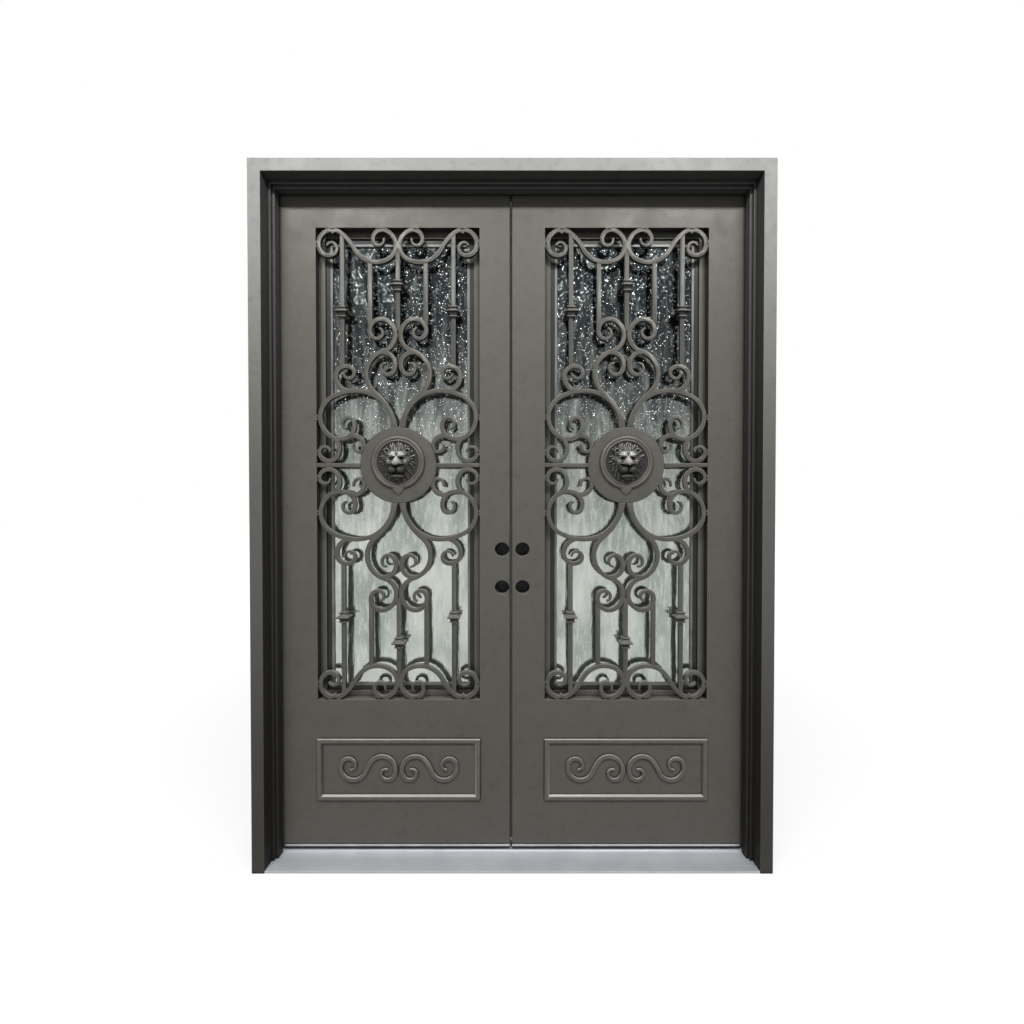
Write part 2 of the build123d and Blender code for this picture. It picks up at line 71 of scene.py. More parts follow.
# %% Camera
CAMERA_PLACE = (-0.001, -1.5444, 1.2847)
CAMERA_TILT = -0.634
CAMERA_LENS = 14.874

camera_data = bpy.data.cameras.new("door_camera")
camera_data.lens = CAMERA_LENS
camera_data.sensor_width = 36.0
camera_data.clip_start = 0.01
camera = bpy.data.objects.new("door_camera", camera_data)
camera.location = CAMERA_PLACE
camera.rotation_euler = (radians(90 + CAMERA_TILT), 0, 0)
scene.collection.objects.link(camera)
scene.camera = camera
scene.view_settings.view_transform = "Standard"
print("camera lens", CAMERA_LENS, "at", CAMERA_PLACE)

# %% [markdown]
# A shader is a tree of nodes. Most of our code adds a node, sets its properties and fills its
# inputs, so one helper does all three. A value that is itself a socket becomes a link.

# %% Helpers for shader nodes
def srgb(red, green, blue):
    """A colour as seen on a screen, from 0 to 255, in the linear values that a shader takes."""
    shares = [c / 255 for c in (red, green, blue)]
    return tuple(s / 12.92 if s <= 0.04045 else ((s + 0.055) / 1.055) ** 2.4 for s in shares) + (1.0,)


def add_node(tree, kind, values=None, **settings):
    """Add one node, with its settings, and fill or link its inputs."""
    made = tree.nodes.new(kind)
    for name, value in settings.items():
        setattr(made, name, value)
    for name, value in (values or {}).items():
        if isinstance(value, bpy.types.NodeSocket):
            tree.links.new(value, made.inputs[name])
        else:
            made.inputs[name].default_value = value
    return made


MIX_A, MIX_B, MIX_COLOUR = 6, 7, 2


def mix_colours(tree, factor, first, second, blend="MIX"):
    """Mix two colours and give the result's socket."""
    mixed = add_node(tree, "ShaderNodeMix", {0: factor, MIX_A: first, MIX_B: second},
                     data_type="RGBA", blend_type=blend)
    return mixed.outputs[MIX_COLOUR]


def calculate(tree, operation, first, second=0.0, clamp=False):
    """One sum, as a Math node."""
    return add_node(tree, "ShaderNodeMath", {0: first, 1: second},
                    operation=operation, use_clamp=clamp).outputs[0]


def remap(tree, value, low, high, new_low=0.0, new_high=1.0):
    """Stretch a range of values over another one."""
    made = add_node(tree, "ShaderNodeMapRange", {"Value": value, "From Min": low, "From Max": high,
                    "To Min": new_low, "To Max": new_high}, interpolation_type="SMOOTHSTEP")
    return made.outputs["Result"]


def noise(tree, scale, detail=3.0, stretch=(1, 1, 1), rough=0.55):
    """Noise that lies still in the object, so that it runs on from one piece to the next."""
    place = add_node(tree, "ShaderNodeTexCoord").outputs["Object"]
    if stretch != (1, 1, 1):
        place = add_node(tree, "ShaderNodeMapping", {"Vector": place, "Scale": stretch}).outputs["Vector"]
    made = add_node(tree, "ShaderNodeTexNoise", {"Vector": place, "Scale": scale, "Detail": detail,
                    "Roughness": rough})
    return made.outputs["Fac"]


def own_place(tree, axis):
    """One coordinate of the shaded point, in the object's own frame."""
    place = add_node(tree, "ShaderNodeTexCoord").outputs["Object"]
    return add_node(tree, "ShaderNodeSeparateXYZ", {0: place}).outputs[axis]


def new_group(name, inputs, outputs):
    """Start a node group with named inputs and outputs, and give its tree and both ends."""
    tree = bpy.data.node_groups.new(name, "ShaderNodeTree")
    for socket, value in inputs.items():
        kind = "NodeSocketColor" if isinstance(value, tuple) else "NodeSocketFloat"
        made = tree.interface.new_socket(socket, in_out="INPUT", socket_type=kind)
        made.default_value = value
    for socket, kind in outputs.items():
        tree.interface.new_socket(socket, in_out="OUTPUT", socket_type=kind)
    return tree, tree.nodes.new("NodeGroupInput").outputs, tree.nodes.new("NodeGroupOutput").inputs


def use_group(tree, group, values):
    """Place a group in a material with its own values."""
    made = tree.nodes.new("ShaderNodeGroup")
    made.node_tree = group
    for name, value in values.items():
        if isinstance(value, bpy.types.NodeSocket):
            tree.links.new(value, made.inputs[name])
        else:
            made.inputs[name].default_value = value
    return made.outputs


def new_material(name, **principled):
    """A material with one Principled shader, whose plain numbers are set on its own sockets."""
    made = bpy.data.materials.new(name)
    made.use_nodes = True
    shader = made.node_tree.nodes["Principled BSDF"]
    for socket, value in principled.items():
        shader.inputs[socket.replace("_", " ")].default_value = value
    return made, made.node_tree, shader.inputs


def join(tree, source, target):
    """Link one socket to another."""
    tree.links.new(source, target)


# %% [markdown]
# The paint was sprayed by hand over a brown and an olive ground, so its tone drifts in soft
# patches a few centimetres wide, and its skin has a fine orange peel. Frame, leaves and scrollwork
# share that effect, so it is a node group.

# %% Group: sprayed paint
spray_paint, ins, outs = new_group(
    "spray_paint",
    {"Paint": srgb(118, 111, 105), "Patch": srgb(108, 108, 98), "Shadow": srgb(84, 76, 72), "Amount": 0.5},
    {"Color": "NodeSocketColor", "Height": "NodeSocketFloat", "Sheen": "NodeSocketFloat"},
)
wide_patches = remap(spray_paint, noise(spray_paint, 26.0, 3.0), 0.42, 0.66)
small_patches = remap(spray_paint, noise(spray_paint, 36.0, 2.0), 0.45, 0.85)
tone = mix_colours(spray_paint, calculate(spray_paint, "MULTIPLY", wide_patches, ins["Amount"]),
                   ins["Paint"], ins["Patch"])
tone = mix_colours(spray_paint, calculate(spray_paint, "MULTIPLY", small_patches, ins["Amount"]),
                   tone, ins["Shadow"])
join(spray_paint, tone, outs["Color"])
join(spray_paint, noise(spray_paint, 900.0, 2.0), outs["Height"])
join(spray_paint, noise(spray_paint, 9.0, 4.0), outs["Sheen"])
print("group", spray_paint.name)

# %% [markdown]
# Hands, tools and cloths rub the paint thin where an edge or a high spot stands out. Cycles' Bevel
# node gives the normal of a rounded edge: where it leaves the true normal, we are near an edge.
# Noise breaks the line up, so that the wear isn't even. Edges that look up are lightened the most
# and those that look down the least: a painted highlight on top of the wear.

# %% Group: rubbed edges with painted highlight
rubbed_edges, ins, outs = new_group(
    "rubbed_edges", {"Reach": 0.0025, "Strength": 1.0}, {"Mask": "NodeSocketFloat"}
)
rounded = add_node(rubbed_edges, "ShaderNodeBevel", {"Radius": ins["Reach"]}, samples=4).outputs[0]
true_normal = add_node(rubbed_edges, "ShaderNodeNewGeometry").outputs["Normal"]
turned = add_node(rubbed_edges, "ShaderNodeVectorMath", {0: rounded, 1: true_normal},
                  operation="DOT_PRODUCT")
edge = remap(rubbed_edges, turned.outputs["Value"], 0.995, 0.86)
broken = remap(rubbed_edges, noise(rubbed_edges, 120.0, 3.0), 0.32, 0.62, 0.35, 1.0)
skyward = add_node(rubbed_edges, "ShaderNodeSeparateXYZ", {0: rounded}).outputs["Z"]
# Painted highlight: edges that look up are lightened, those that look down much less.
lit = remap(rubbed_edges, skyward, -0.2, 0.55, 0.25, 1.6)
wear_and_highlight = calculate(rubbed_edges, "MULTIPLY", calculate(rubbed_edges, "MULTIPLY", edge, broken), lit)
join(rubbed_edges, calculate(rubbed_edges, "MULTIPLY", wear_and_highlight, ins["Strength"], clamp=True), outs["Mask"])
print("group", rubbed_edges.name)

# %% [markdown]
# Dust settles on whatever faces up: the tops of bars and collars, the ledges and the sill.

# %% Group: settled dust
settled_dust, ins, outs = new_group("settled_dust", {"Amount": 0.4}, {"Mask": "NodeSocketFloat"})
facing = add_node(settled_dust, "ShaderNodeNewGeometry").outputs["Normal"]
upward = add_node(settled_dust, "ShaderNodeSeparateXYZ", {0: facing}).outputs["Z"]
lying = remap(settled_dust, upward, 0.35, 0.95)
clumps = remap(settled_dust, noise(settled_dust, 60.0, 5.0), 0.3, 0.7, 0.4, 1.0)
dusty = calculate(settled_dust, "MULTIPLY", lying, clumps)
join(settled_dust, calculate(settled_dust, "MULTIPLY", dusty, ins["Amount"], clamp=True), outs["Mask"])
print("group", settled_dust.name)

# %% [markdown]
# Faces that look sideways or down are painted nearly black: a painted shade. Faces that look up,
# and a little those that look away from the meeting line, are painted pale: a painted highlight.
# The object's own normal tells them apart, so a door that swings keeps this painted light and
# shade.

# %% Group: painted facing light and shade
thin_coat, ins, outs = new_group(
    "thin_coat", {"Amount": 0.7, "Flat": 0.8}, {"Mask": "NodeSocketFloat", "Upper": "NodeSocketFloat"}
)
own_normal = add_node(thin_coat, "ShaderNodeTexCoord").outputs["Normal"]
facing = add_node(thin_coat, "ShaderNodeSeparateXYZ", {0: own_normal}).outputs
side_sign = calculate(thin_coat, "SIGN", own_place(thin_coat, "X"))
outward = calculate(thin_coat, "MULTIPLY", facing["X"], side_sign)
lit_facing = calculate(thin_coat, "MAXIMUM", facing["Z"], calculate(thin_coat, "MULTIPLY", outward, 0.6))
steep = calculate(thin_coat, "SUBTRACT", ins["Flat"], 0.45)
sideways = remap(thin_coat, calculate(thin_coat, "ABSOLUTE", facing["Y"]), ins["Flat"], steep)
# Painted shade on faces that look sideways or down.
painted_side_shade = calculate(thin_coat, "MULTIPLY", sideways, remap(thin_coat, facing["Z"], 0.6, 0.1))
join(thin_coat, calculate(thin_coat, "MULTIPLY", painted_side_shade, ins["Amount"], clamp=True), outs["Mask"])
# Upper: painted highlight on faces that look up or away from the meeting line.
join(thin_coat, remap(thin_coat, lit_facing, 0.1, 0.75), outs["Upper"])
print("group", thin_coat.name)

# %% [markdown]
# Inner corners, where a moulding or a collar meets the sheet, are painted dark: a painted shade.
# The Ambient Occlusion node tells how much of the nearby space is free, so a low value is a corner.

# %% Group: painted corner shade
corner_dirt, ins, outs = new_group(
    "corner_dirt", {"Reach": 0.014, "Amount": 0.8}, {"Mask": "NodeSocketFloat"}
)
free = add_node(corner_dirt, "ShaderNodeAmbientOcclusion", {"Distance": ins["Reach"]}, samples=6)
corner = remap(corner_dirt, free.outputs["AO"], 0.9, 0.45)
join(corner_dirt, calculate(corner_dirt, "MULTIPLY", corner, ins["Amount"], clamp=True), outs["Mask"])
print("group", corner_dirt.name)

# %% [markdown]
# Drawn and rolled metal has fine lines along its length. Stretched noise makes them. The lines
# here run along X, the way of the sill, the sweep and the bead's long scratches.

# %% Group: drawn lines
drawn_lines, ins, outs = new_group("drawn_lines", {"Depth": 1.0}, {"Value": "NodeSocketFloat"})
fine = noise(drawn_lines, 1400.0, 3.0, stretch=(0.02, 1, 1))
coarse = noise(drawn_lines, 220.0, 4.0, stretch=(0.15, 1, 1))
lines = calculate(drawn_lines, "ADD", fine, coarse)
join(drawn_lines, calculate(drawn_lines, "MULTIPLY", lines, ins["Depth"]), outs["Value"])
print("group", drawn_lines.name)

# %% [markdown]
# Now the finishes. Painted steel is one recipe with its own tones for the frame, the leaves, the
# scrollwork, the relief of the kick panels and the sashes: sprayed paint, dust, rubbed edges with a
# painted highlight, and a bump from the paint's skin. Painted shade darkens faces that look sideways
# or down and the inner corners, and a painted highlight lightens faces that look up. The frame is
# painted lighter towards its top and darker towards its foot, and its steps are painted nearly
# black, all painted light and shade.

# %% Painted finishes
DUST = srgb(150, 146, 138)
SHADE_COLOUR = srgb(30, 30, 31)
jamb_low, jamb_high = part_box("left_jamb")
FRAME_FRONT = jamb_low.y
FRAME_BACK = jamb_high.y
# The frame's steps, behind its front and short of its back, are painted dark: a painted shade.
STEPS_SHADE = 0.6
STEPS_FROM = (3 * MM, 12 * MM)
BACK_UNSHADED = (5 * MM, 20 * MM)
FOOT_HEIGHT = 0.1
MID_HEIGHT = 1.25
TOP_HEIGHT = 2.45


def painted(name, paint, patch, shadow, wear_and_highlight, rub_and_light, rough, side_shade=0.7, top_light=0.1, flat=0.8, specular=0.3,
            amount=0.4, weather=None):
    """A sprayed finish on steel or cast iron, with painted light and shade; the frame's is painted lighter
    at the top.
    """
    made, tree, shader = new_material(name, Metallic=0.05, IOR=1.5, Specular_IOR_Level=specular)
    # Painted light: the frame is painted darker towards its foot and lighter towards its top.
    if weather:
        height = own_place(tree, "Z")
        foot, top = weather
        paint = mix_colours(tree, remap(tree, height, MID_HEIGHT, FOOT_HEIGHT), paint, foot)
        paint = mix_colours(tree, remap(tree, height, MID_HEIGHT, TOP_HEIGHT), paint, top)
        patch = mix_colours(tree, 0.7, patch, paint)
    coat = use_group(tree, spray_paint, {"Paint": paint, "Patch": patch, "Shadow": shadow,
                     "Amount": amount})
    dusted = use_group(tree, settled_dust, {"Amount": 0.25})["Mask"]
    rubbed = use_group(tree, rubbed_edges, {"Strength": rub_and_light})["Mask"]
    facing_masks = use_group(tree, thin_coat, {"Amount": side_shade, "Flat": flat})
    shade_share = facing_masks["Mask"]
    # Painted shade: the frame's steps are darkened nearly to black.
    if weather:
        depth = own_place(tree, "Y")
        behind_front = remap(tree, depth, *[FRAME_FRONT + reach for reach in STEPS_FROM])
        before_back = remap(tree, depth, *[FRAME_BACK - reach for reach in BACK_UNSHADED], 0.0, STEPS_SHADE)
        shade_share = calculate(tree, "MAXIMUM", shade_share, calculate(tree, "MULTIPLY", behind_front, before_back))
    # Painted shade on faces that look sideways or down and in the frame's steps.
    colour = mix_colours(tree, shade_share, coat["Color"], SHADE_COLOUR)
    # Painted highlight on faces that look up.
    colour = mix_colours(tree, calculate(tree, "MULTIPLY", facing_masks["Upper"], top_light), colour, wear_and_highlight)
    colour = mix_colours(tree, dusted, colour, DUST)
    # Worn edges, lightened more where they look up: wear and a painted highlight.
    colour = mix_colours(tree, rubbed, colour, wear_and_highlight)
    # Painted shade in inner corners.
    colour = mix_colours(tree, use_group(tree, corner_dirt, {"Amount": 0.8})["Mask"], colour, SHADE_COLOUR)
    join(tree, colour, shader["Base Color"])
    gloss = remap(tree, coat["Sheen"], 0.3, 0.7, rough - 0.06, rough + 0.08)
    gloss = calculate(tree, "ADD", gloss, calculate(tree, "MULTIPLY", dusted, 0.3), clamp=True)
    join(tree, gloss, shader["Roughness"])
    bump = add_node(tree, "ShaderNodeBump", {"Height": coat["Height"], "Strength": 0.12,
                    "Distance": 0.0004})
    join(tree, bump.outputs["Normal"], shader["Normal"])
    print("finish", name)
    return made


finishes = {
    "frame_paint": painted("frame_paint", srgb(126, 124, 120), srgb(114, 115, 109), srgb(92, 88, 86),
                           srgb(196, 194, 190), 0.7, 0.5, side_shade=0.8, specular=0.12, amount=0.2,
                           weather=(srgb(90, 86, 82), srgb(177, 177, 174))),
    "door_paint": painted("door_paint", srgb(119, 116, 109), srgb(113, 111, 101), srgb(102, 94, 90),
                          srgb(188, 186, 180), 0.8, 0.42, side_shade=0.8, specular=0.2),
    "scroll_iron": painted("scroll_iron", srgb(112, 109, 102), srgb(104, 104, 96), srgb(78, 74, 71),
                           srgb(196, 194, 188), 1.0, 0.36, side_shade=0.75, top_light=0.3),
    # The relief's finish has a strong painted highlight on faces that look up and painted shade on its
    # steep sides.
    "relief_paint": painted("relief_paint", srgb(122, 119, 112), srgb(112, 110, 100), srgb(92, 86, 82),
                            srgb(238, 235, 226), 1.0, 0.3, side_shade=0.9, top_light=0.9, flat=0.985),
    # The sashes are painted dark to stand for the shade in their recess: painted shade.
    "sash_paint": painted("sash_paint", srgb(48, 47, 46), srgb(42, 42, 40), srgb(26, 25, 25),
                          srgb(120, 118, 114), 0.6, 0.4, side_shade=0.5),
}

# %% [markdown]
# The heads are cast iron under the same paint. Their hollows, the hair and the lower face are
# painted dark, a painted shade, and hands have rubbed the brow, the nose and the cheeks bright, made
# brighter by a painted highlight. A shader can't know what is high or low on a casting, so the mesh
# will carry two numbers at each point, called rubbed and grime, which this finish reads.

# %% Cast finish
def cast_finish():
    """Painted cast iron with painted shade in its hollows and rubbed high spots lit by a painted highlight.
    """
    made, tree, shader = new_material("cast_iron", Metallic=0.25, IOR=1.5, Specular_IOR_Level=0.5)
    coat = use_group(tree, spray_paint, {"Paint": srgb(112, 108, 102), "Patch": srgb(104, 103, 96),
                     "Shadow": srgb(74, 70, 68), "Amount": 0.4})
    grime = add_node(tree, "ShaderNodeAttribute", attribute_name="grime").outputs["Fac"]
    rubbed = add_node(tree, "ShaderNodeAttribute", attribute_name="rubbed").outputs["Fac"]
    uneven = remap(tree, noise(tree, 260.0, 3.0), 0.3, 0.65, 0.45, 1.0)
    rubbed = calculate(tree, "MULTIPLY", rubbed, uneven, clamp=True)
    wear_and_highlight = use_group(tree, rubbed_edges, {"Strength": 0.5})["Mask"]
    # Painted shade in the hollows, the hair and the lower face.
    colour = mix_colours(tree, grime, coat["Color"], srgb(26, 25, 25))
    # Worn edges with a painted highlight where they look up.
    colour = mix_colours(tree, wear_and_highlight, colour, srgb(170, 168, 164))
    # Rubbed high spots, brightened further as a painted highlight.
    colour = mix_colours(tree, rubbed, colour, srgb(236, 235, 233))
    join(tree, colour, shader["Base Color"])
    gloss = remap(tree, coat["Sheen"], 0.3, 0.7, 0.3, 0.42)
    join(tree, calculate(tree, "SUBTRACT", gloss, calculate(tree, "MULTIPLY", rubbed, 0.08)),
         shader["Roughness"])
    pits = calculate(tree, "ADD", noise(tree, 700.0, 3.0), coat["Height"])
    bump = add_node(tree, "ShaderNodeBump", {"Height": pits, "Strength": 0.25, "Distance": 0.0005})
    join(tree, bump.outputs["Normal"], shader["Normal"])
    print("finish cast_iron")
    return made


finishes["cast_iron"] = cast_finish()

# %% [markdown]
# The bare metals: a worn blue-grey steel sill, a bright aluminium sweep, the bright bead round
# the glass and the plain steel of the hinges. All have drawn lines, with their own tones.

# %% Bare metals
sweep_low, sweep_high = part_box("left_bottom_sweep")
sweep_height = sweep_high.z - sweep_low.z
SWEEP_BAND = (sweep_low.z + 0.45 * sweep_height, sweep_low.z + 0.97 * sweep_height)


def bare_metal(name, bright, dull, rough, depth, dust, metallic=0.85, band=False):
    """Drawn or rolled metal, duller in patches; the sweep's is bright only in a band."""
    made, tree, shader = new_material(name, Metallic=metallic, IOR=1.5)
    lines = use_group(tree, drawn_lines, {"Depth": 1.0})["Value"]
    dusted = use_group(tree, settled_dust, {"Amount": dust})["Mask"]
    # Worn edges, lightened more where they look up: wear and a painted highlight.
    rubbed = use_group(tree, rubbed_edges, {"Strength": 0.8})["Mask"]
    blotches = remap(tree, noise(tree, 9.0, 2.0), 0.3, 0.75)
    colour = mix_colours(tree, blotches, bright, dull)
    colour = mix_colours(tree, dusted, colour, DUST)
    colour = mix_colours(tree, rubbed, colour, bright)
    if band:
        height = own_place(tree, "Z")
        inside = calculate(tree, "MULTIPLY", calculate(tree, "GREATER_THAN", height, SWEEP_BAND[0]),
                           calculate(tree, "LESS_THAN", height, SWEEP_BAND[1]))
        colour = mix_colours(tree, inside, srgb(40, 40, 41), colour)
    join(tree, colour, shader["Base Color"])
    join(tree, remap(tree, lines, 0.6, 1.4, rough - 0.08, rough + 0.12), shader["Roughness"])
    bump = add_node(tree, "ShaderNodeBump", {"Height": lines, "Strength": depth, "Distance": 0.0003})
    join(tree, bump.outputs["Normal"], shader["Normal"])
    print("finish", name)
    return made


finishes["sill_metal"] = bare_metal("sill_metal", srgb(240, 244, 249), srgb(230, 234, 240), 0.35, 0.15,
                                    0.0, metallic=0.15)
finishes["aluminium"] = bare_metal("aluminium", srgb(240, 241, 242), srgb(214, 216, 218), 0.3, 0.2, 0.0,
                                   metallic=0.35, band=True)
finishes["bright_bead"] = bare_metal("bright_bead", srgb(138, 138, 135), srgb(104, 104, 102), 0.4, 0.2, 0.1,
                                     metallic=0.15)
finishes["hinge_steel"] = bare_metal("hinge_steel", srgb(150, 148, 144), srgb(112, 109, 105),
                                     0.38, 0.3, 0.2)

# %% [markdown]
# The weather seal, the lips between the leaves and the plugs are black rubber, which greys with a
# dry bloom where it is touched.

# %% Rubber
def seal_rubber():
    """Black rubber, greyed on its high spots."""
    made, tree, shader = new_material("seal_rubber", IOR=1.5)
    bloom = remap(tree, noise(tree, 90.0, 4.0), 0.4, 0.7)
    join(tree, mix_colours(tree, bloom, srgb(28, 28, 29), srgb(52, 52, 53)), shader["Base Color"])
    join(tree, remap(tree, bloom, 0.0, 1.0, 0.55, 0.75), shader["Roughness"])
    bump = add_node(tree, "ShaderNodeBump", {"Height": noise(tree, 700.0, 2.0), "Strength": 0.2,
                    "Distance": 0.0004})
    join(tree, bump.outputs["Normal"], shader["Normal"])
    print("finish seal_rubber")
    return made


finishes["seal_rubber"] = seal_rubber()

# %% [markdown]
# The panes are rain glass: the sheet runs in long upright ripples, with small beads in it. It is
# silvered by what it mirrors more than it is clear, so it is partly metallic and partly
# transmissive, both as plain numbers. Its colour is a painted reflection, dark at the top and pale
# green-grey below with pale streaks, and the beads carry painted glints.

# %% Rain glass
PALE_BELOW = 1.0
DARK_ABOVE = 2.0


def rain_glass():
    """Textured glass with upright ripples and beads, and a painted reflection and glints in its colour."""
    made, tree, shader = new_material("textured_glass", Metallic=0.78, Transmission_Weight=0.6, IOR=1.5)
    place = add_node(tree, "ShaderNodeTexCoord").outputs["Object"]
    streaks = noise(tree, 42.0, 4.0, stretch=(1, 1, 0.12))
    swell = calculate(tree, "MULTIPLY", calculate(tree, "SUBTRACT", streaks, 0.5), 0.9)
    height = calculate(tree, "ADD", own_place(tree, "Z"), swell)
    # Painted reflection: dark above and pale below.
    depth = remap(tree, height, PALE_BELOW, DARK_ABOVE)
    drift = remap(tree, noise(tree, 7.0, 3.0, stretch=(1, 1, 0.45)), 0.35, 0.65)
    pale = mix_colours(tree, drift, srgb(199, 203, 196), srgb(157, 164, 158))
    tone = mix_colours(tree, depth, pale, srgb(40, 47, 49))
    # Pale painted streaks of reflection, stronger low down.
    light_streaks = remap(tree, noise(tree, 85.0, 5.0, stretch=(1, 1, 0.2)), 0.48, 0.7)
    low_light_streaks = calculate(tree, "MULTIPLY", light_streaks, remap(tree, depth, 0.0, 1.0, 0.5, 0.15))
    tone = mix_colours(tree, low_light_streaks, tone, srgb(214, 222, 216))
    # The beads' pale colour is a painted glint; their bump is the real bead.
    beads_and_glints = 0.0
    for scale, size, edge_low, edge_high in ((95.0, 0.27, 0.5, 0.6), (170.0, 0.33, 0.48, 0.58)):
        beads = add_node(tree, "ShaderNodeTexVoronoi", {"Vector": place, "Scale": scale}, feature="F1")
        spots = remap(tree, beads.outputs["Distance"], size, size * 0.6)
        scatter = remap(tree, noise(tree, scale * 0.4, 2.0), edge_low, edge_high)
        beads_and_glints = calculate(tree, "MAXIMUM", beads_and_glints, calculate(tree, "MULTIPLY", spots, scatter))
    beads_and_glints = calculate(tree, "MULTIPLY", beads_and_glints, remap(tree, depth, 0.1, 0.8, 0.25, 0.95))
    tone = mix_colours(tree, beads_and_glints, tone, srgb(250, 253, 252))
    join(tree, tone, shader["Base Color"])
    join(tree, remap(tree, light_streaks, 0.0, 1.0, 0.05, 0.16), shader["Roughness"])
    relief = calculate(tree, "ADD", calculate(tree, "MULTIPLY", streaks, 2.0),
                       calculate(tree, "MULTIPLY", beads_and_glints, 0.4))
    bump = add_node(tree, "ShaderNodeBump", {"Height": relief, "Strength": 0.4, "Distance": 0.002})
    join(tree, bump.outputs["Normal"], shader["Normal"])
    print("finish textured_glass")
    return made


finishes["textured_glass"] = rain_glass()

# %% [markdown]
# Each solid already says which finish it takes, in the record's list of slots. We swap the plain
# slot material of each node for ours.

# %% Dress the solids
slot_of = {}
for name, solid in nodes.items():
    slot_of[name] = solid.data.materials[0].name.split(".")[0]
print(sorted(set(slot_of.values())))
for name, solid in nodes.items():
    solid.data.materials[0] = finishes["sash_paint" if name.endswith("_sash") else slot_of[name]]

# %% [markdown]
# Our own pieces are meshes that ride on a body and take a finish, the slot's own unless another is
# named. A piece may replace solids: then the renderer leaves those out, and the simulation still uses them.

# %% Helpers for pieces
def link_piece(name, mesh, body, slot, *replaced, finish=None):
    """Put a mesh in the scene as a named piece that rides on a body and takes a finish."""
    piece = bpy.data.objects.new(name, mesh)
    scene.collection.objects.link(piece)
    mesh.materials.clear()
    mesh.materials.append(finishes[finish or slot])
    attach(piece, body)
    if replaced:
        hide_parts(*replaced)
    return piece


def closed_mesh(name, points, faces):
    """A mesh from points and faces, with its normals turned outwards."""
    mesh = bpy.data.meshes.new(name)
    mesh.from_pydata(points, [], faces)
    work = bmesh.new()
    work.from_mesh(mesh)
    bmesh.ops.recalc_face_normals(work, faces=work.faces)
    work.to_mesh(mesh)
    work.free()
    return mesh


# %% [markdown]
# Forged bars, castings and folded sheet have soft edges that draw a thin line of light, which is
# much of what the eye reads as iron. We copy a solid's mesh, merge its doubled points, dissolve the
# triangles of its flat faces, and round its sharp edges with a Bevel modifier.

# %% Helpers for rounding
SHARP = radians(38)
FLAT = radians(0.4)
DOUBLED = 0.01 * MM
FUSED = 0.02 * MM


def clean_mesh(name, source):
    """A copy of a solid's mesh with whole flat faces."""
    mesh = source.data.copy()
    mesh.name = name
    work = bmesh.new()
    work.from_mesh(mesh)
    bmesh.ops.remove_doubles(work, verts=work.verts, dist=DOUBLED)
    bmesh.ops.dissolve_limit(work, angle_limit=FLAT, verts=work.verts, edges=work.edges)
    for face in work.faces:
        face.smooth = True
    work.to_mesh(mesh)
    work.free()
    return mesh


def round_edges(piece, width, harden=True):
    """Round a piece's sharp edges; hardened normals keep smooth-shaded flat faces flat."""
    bevel = piece.modifiers.new("rounded_edges", "BEVEL")
    bevel.width = width
    bevel.segments = 2
    bevel.limit_method = "ANGLE"
    bevel.angle_limit = SHARP
    bevel.use_clamp_overlap = False
    bevel.harden_normals = harden


# %% [markdown]
# Each leaf is one welded and filled skin, with no line where its stiles, rail and panel meet. We
# fuse those five solids with Boolean modifiers, and count open edges to be sure that the result is
# closed.

# %% Fuse solids
def joined_mesh(name, parts):
    """Several solids that touch, fused into one closed mesh."""
    pieces = []
    for part in parts:
        temporary = bpy.data.objects.new(part + "_fuse", clean_mesh(part + "_fuse", nodes[part]))
        scene.collection.objects.link(temporary)
        pieces.append(temporary)
    for other in pieces[1:]:
        fuse = pieces[0].modifiers.new("fuse", "BOOLEAN")
        fuse.operation = "UNION"
        fuse.solver = "EXACT"
        fuse.object = other
    bpy.context.view_layer.update()
    result = pieces[0].evaluated_get(bpy.context.evaluated_depsgraph_get())
    mesh = bpy.data.meshes.new_from_object(result)
    mesh.name = name
    for temporary in pieces:
        bpy.data.objects.remove(temporary)
    work = bmesh.new()
    work.from_mesh(mesh)
    bmesh.ops.remove_doubles(work, verts=work.verts, dist=FUSED)
    bmesh.ops.dissolve_limit(work, angle_limit=FLAT, verts=work.verts, edges=work.edges)
    bmesh.ops.recalc_face_normals(work, faces=work.faces)
    open_edges = sum(1 for edge in work.edges if not edge.is_manifold)
    for face in work.faces:
        face.smooth = False
    work.to_mesh(mesh)
    work.free()
    print(name, len(mesh.polygons), "faces,", open_edges, "open edges")
    return mesh


# %% [markdown]
# Now the skins themselves, with rounded edges at the opening and the lock holes. Their faces are
# flat, so they are shaded flat.

# %% Leaf skins
SKIN_ROUNDING = 1.3 * MM
LEAF_PARTS = ("hinge_stile", "lock_stile", "lock_box", "top_rail", "kick_panel")
for side, sign in SIDES:
    parts = [f"{side}_{part}" for part in LEAF_PARTS]
    name = f"{side}_leaf_skin"
    piece = link_piece(name, joined_mesh(name, parts), f"{side}_leaf", "door_paint", *parts)
    round_edges(piece, SKIN_ROUNDING, harden=False)

# %% [markdown]
# The scrollwork, its bars and collars, the round plates, the relief of the kick panels and the sill
# are rounded one by one, each with its own width. The relief takes a finish with stronger painted
# highlights on faces that look up and painted shade on its steep sides.

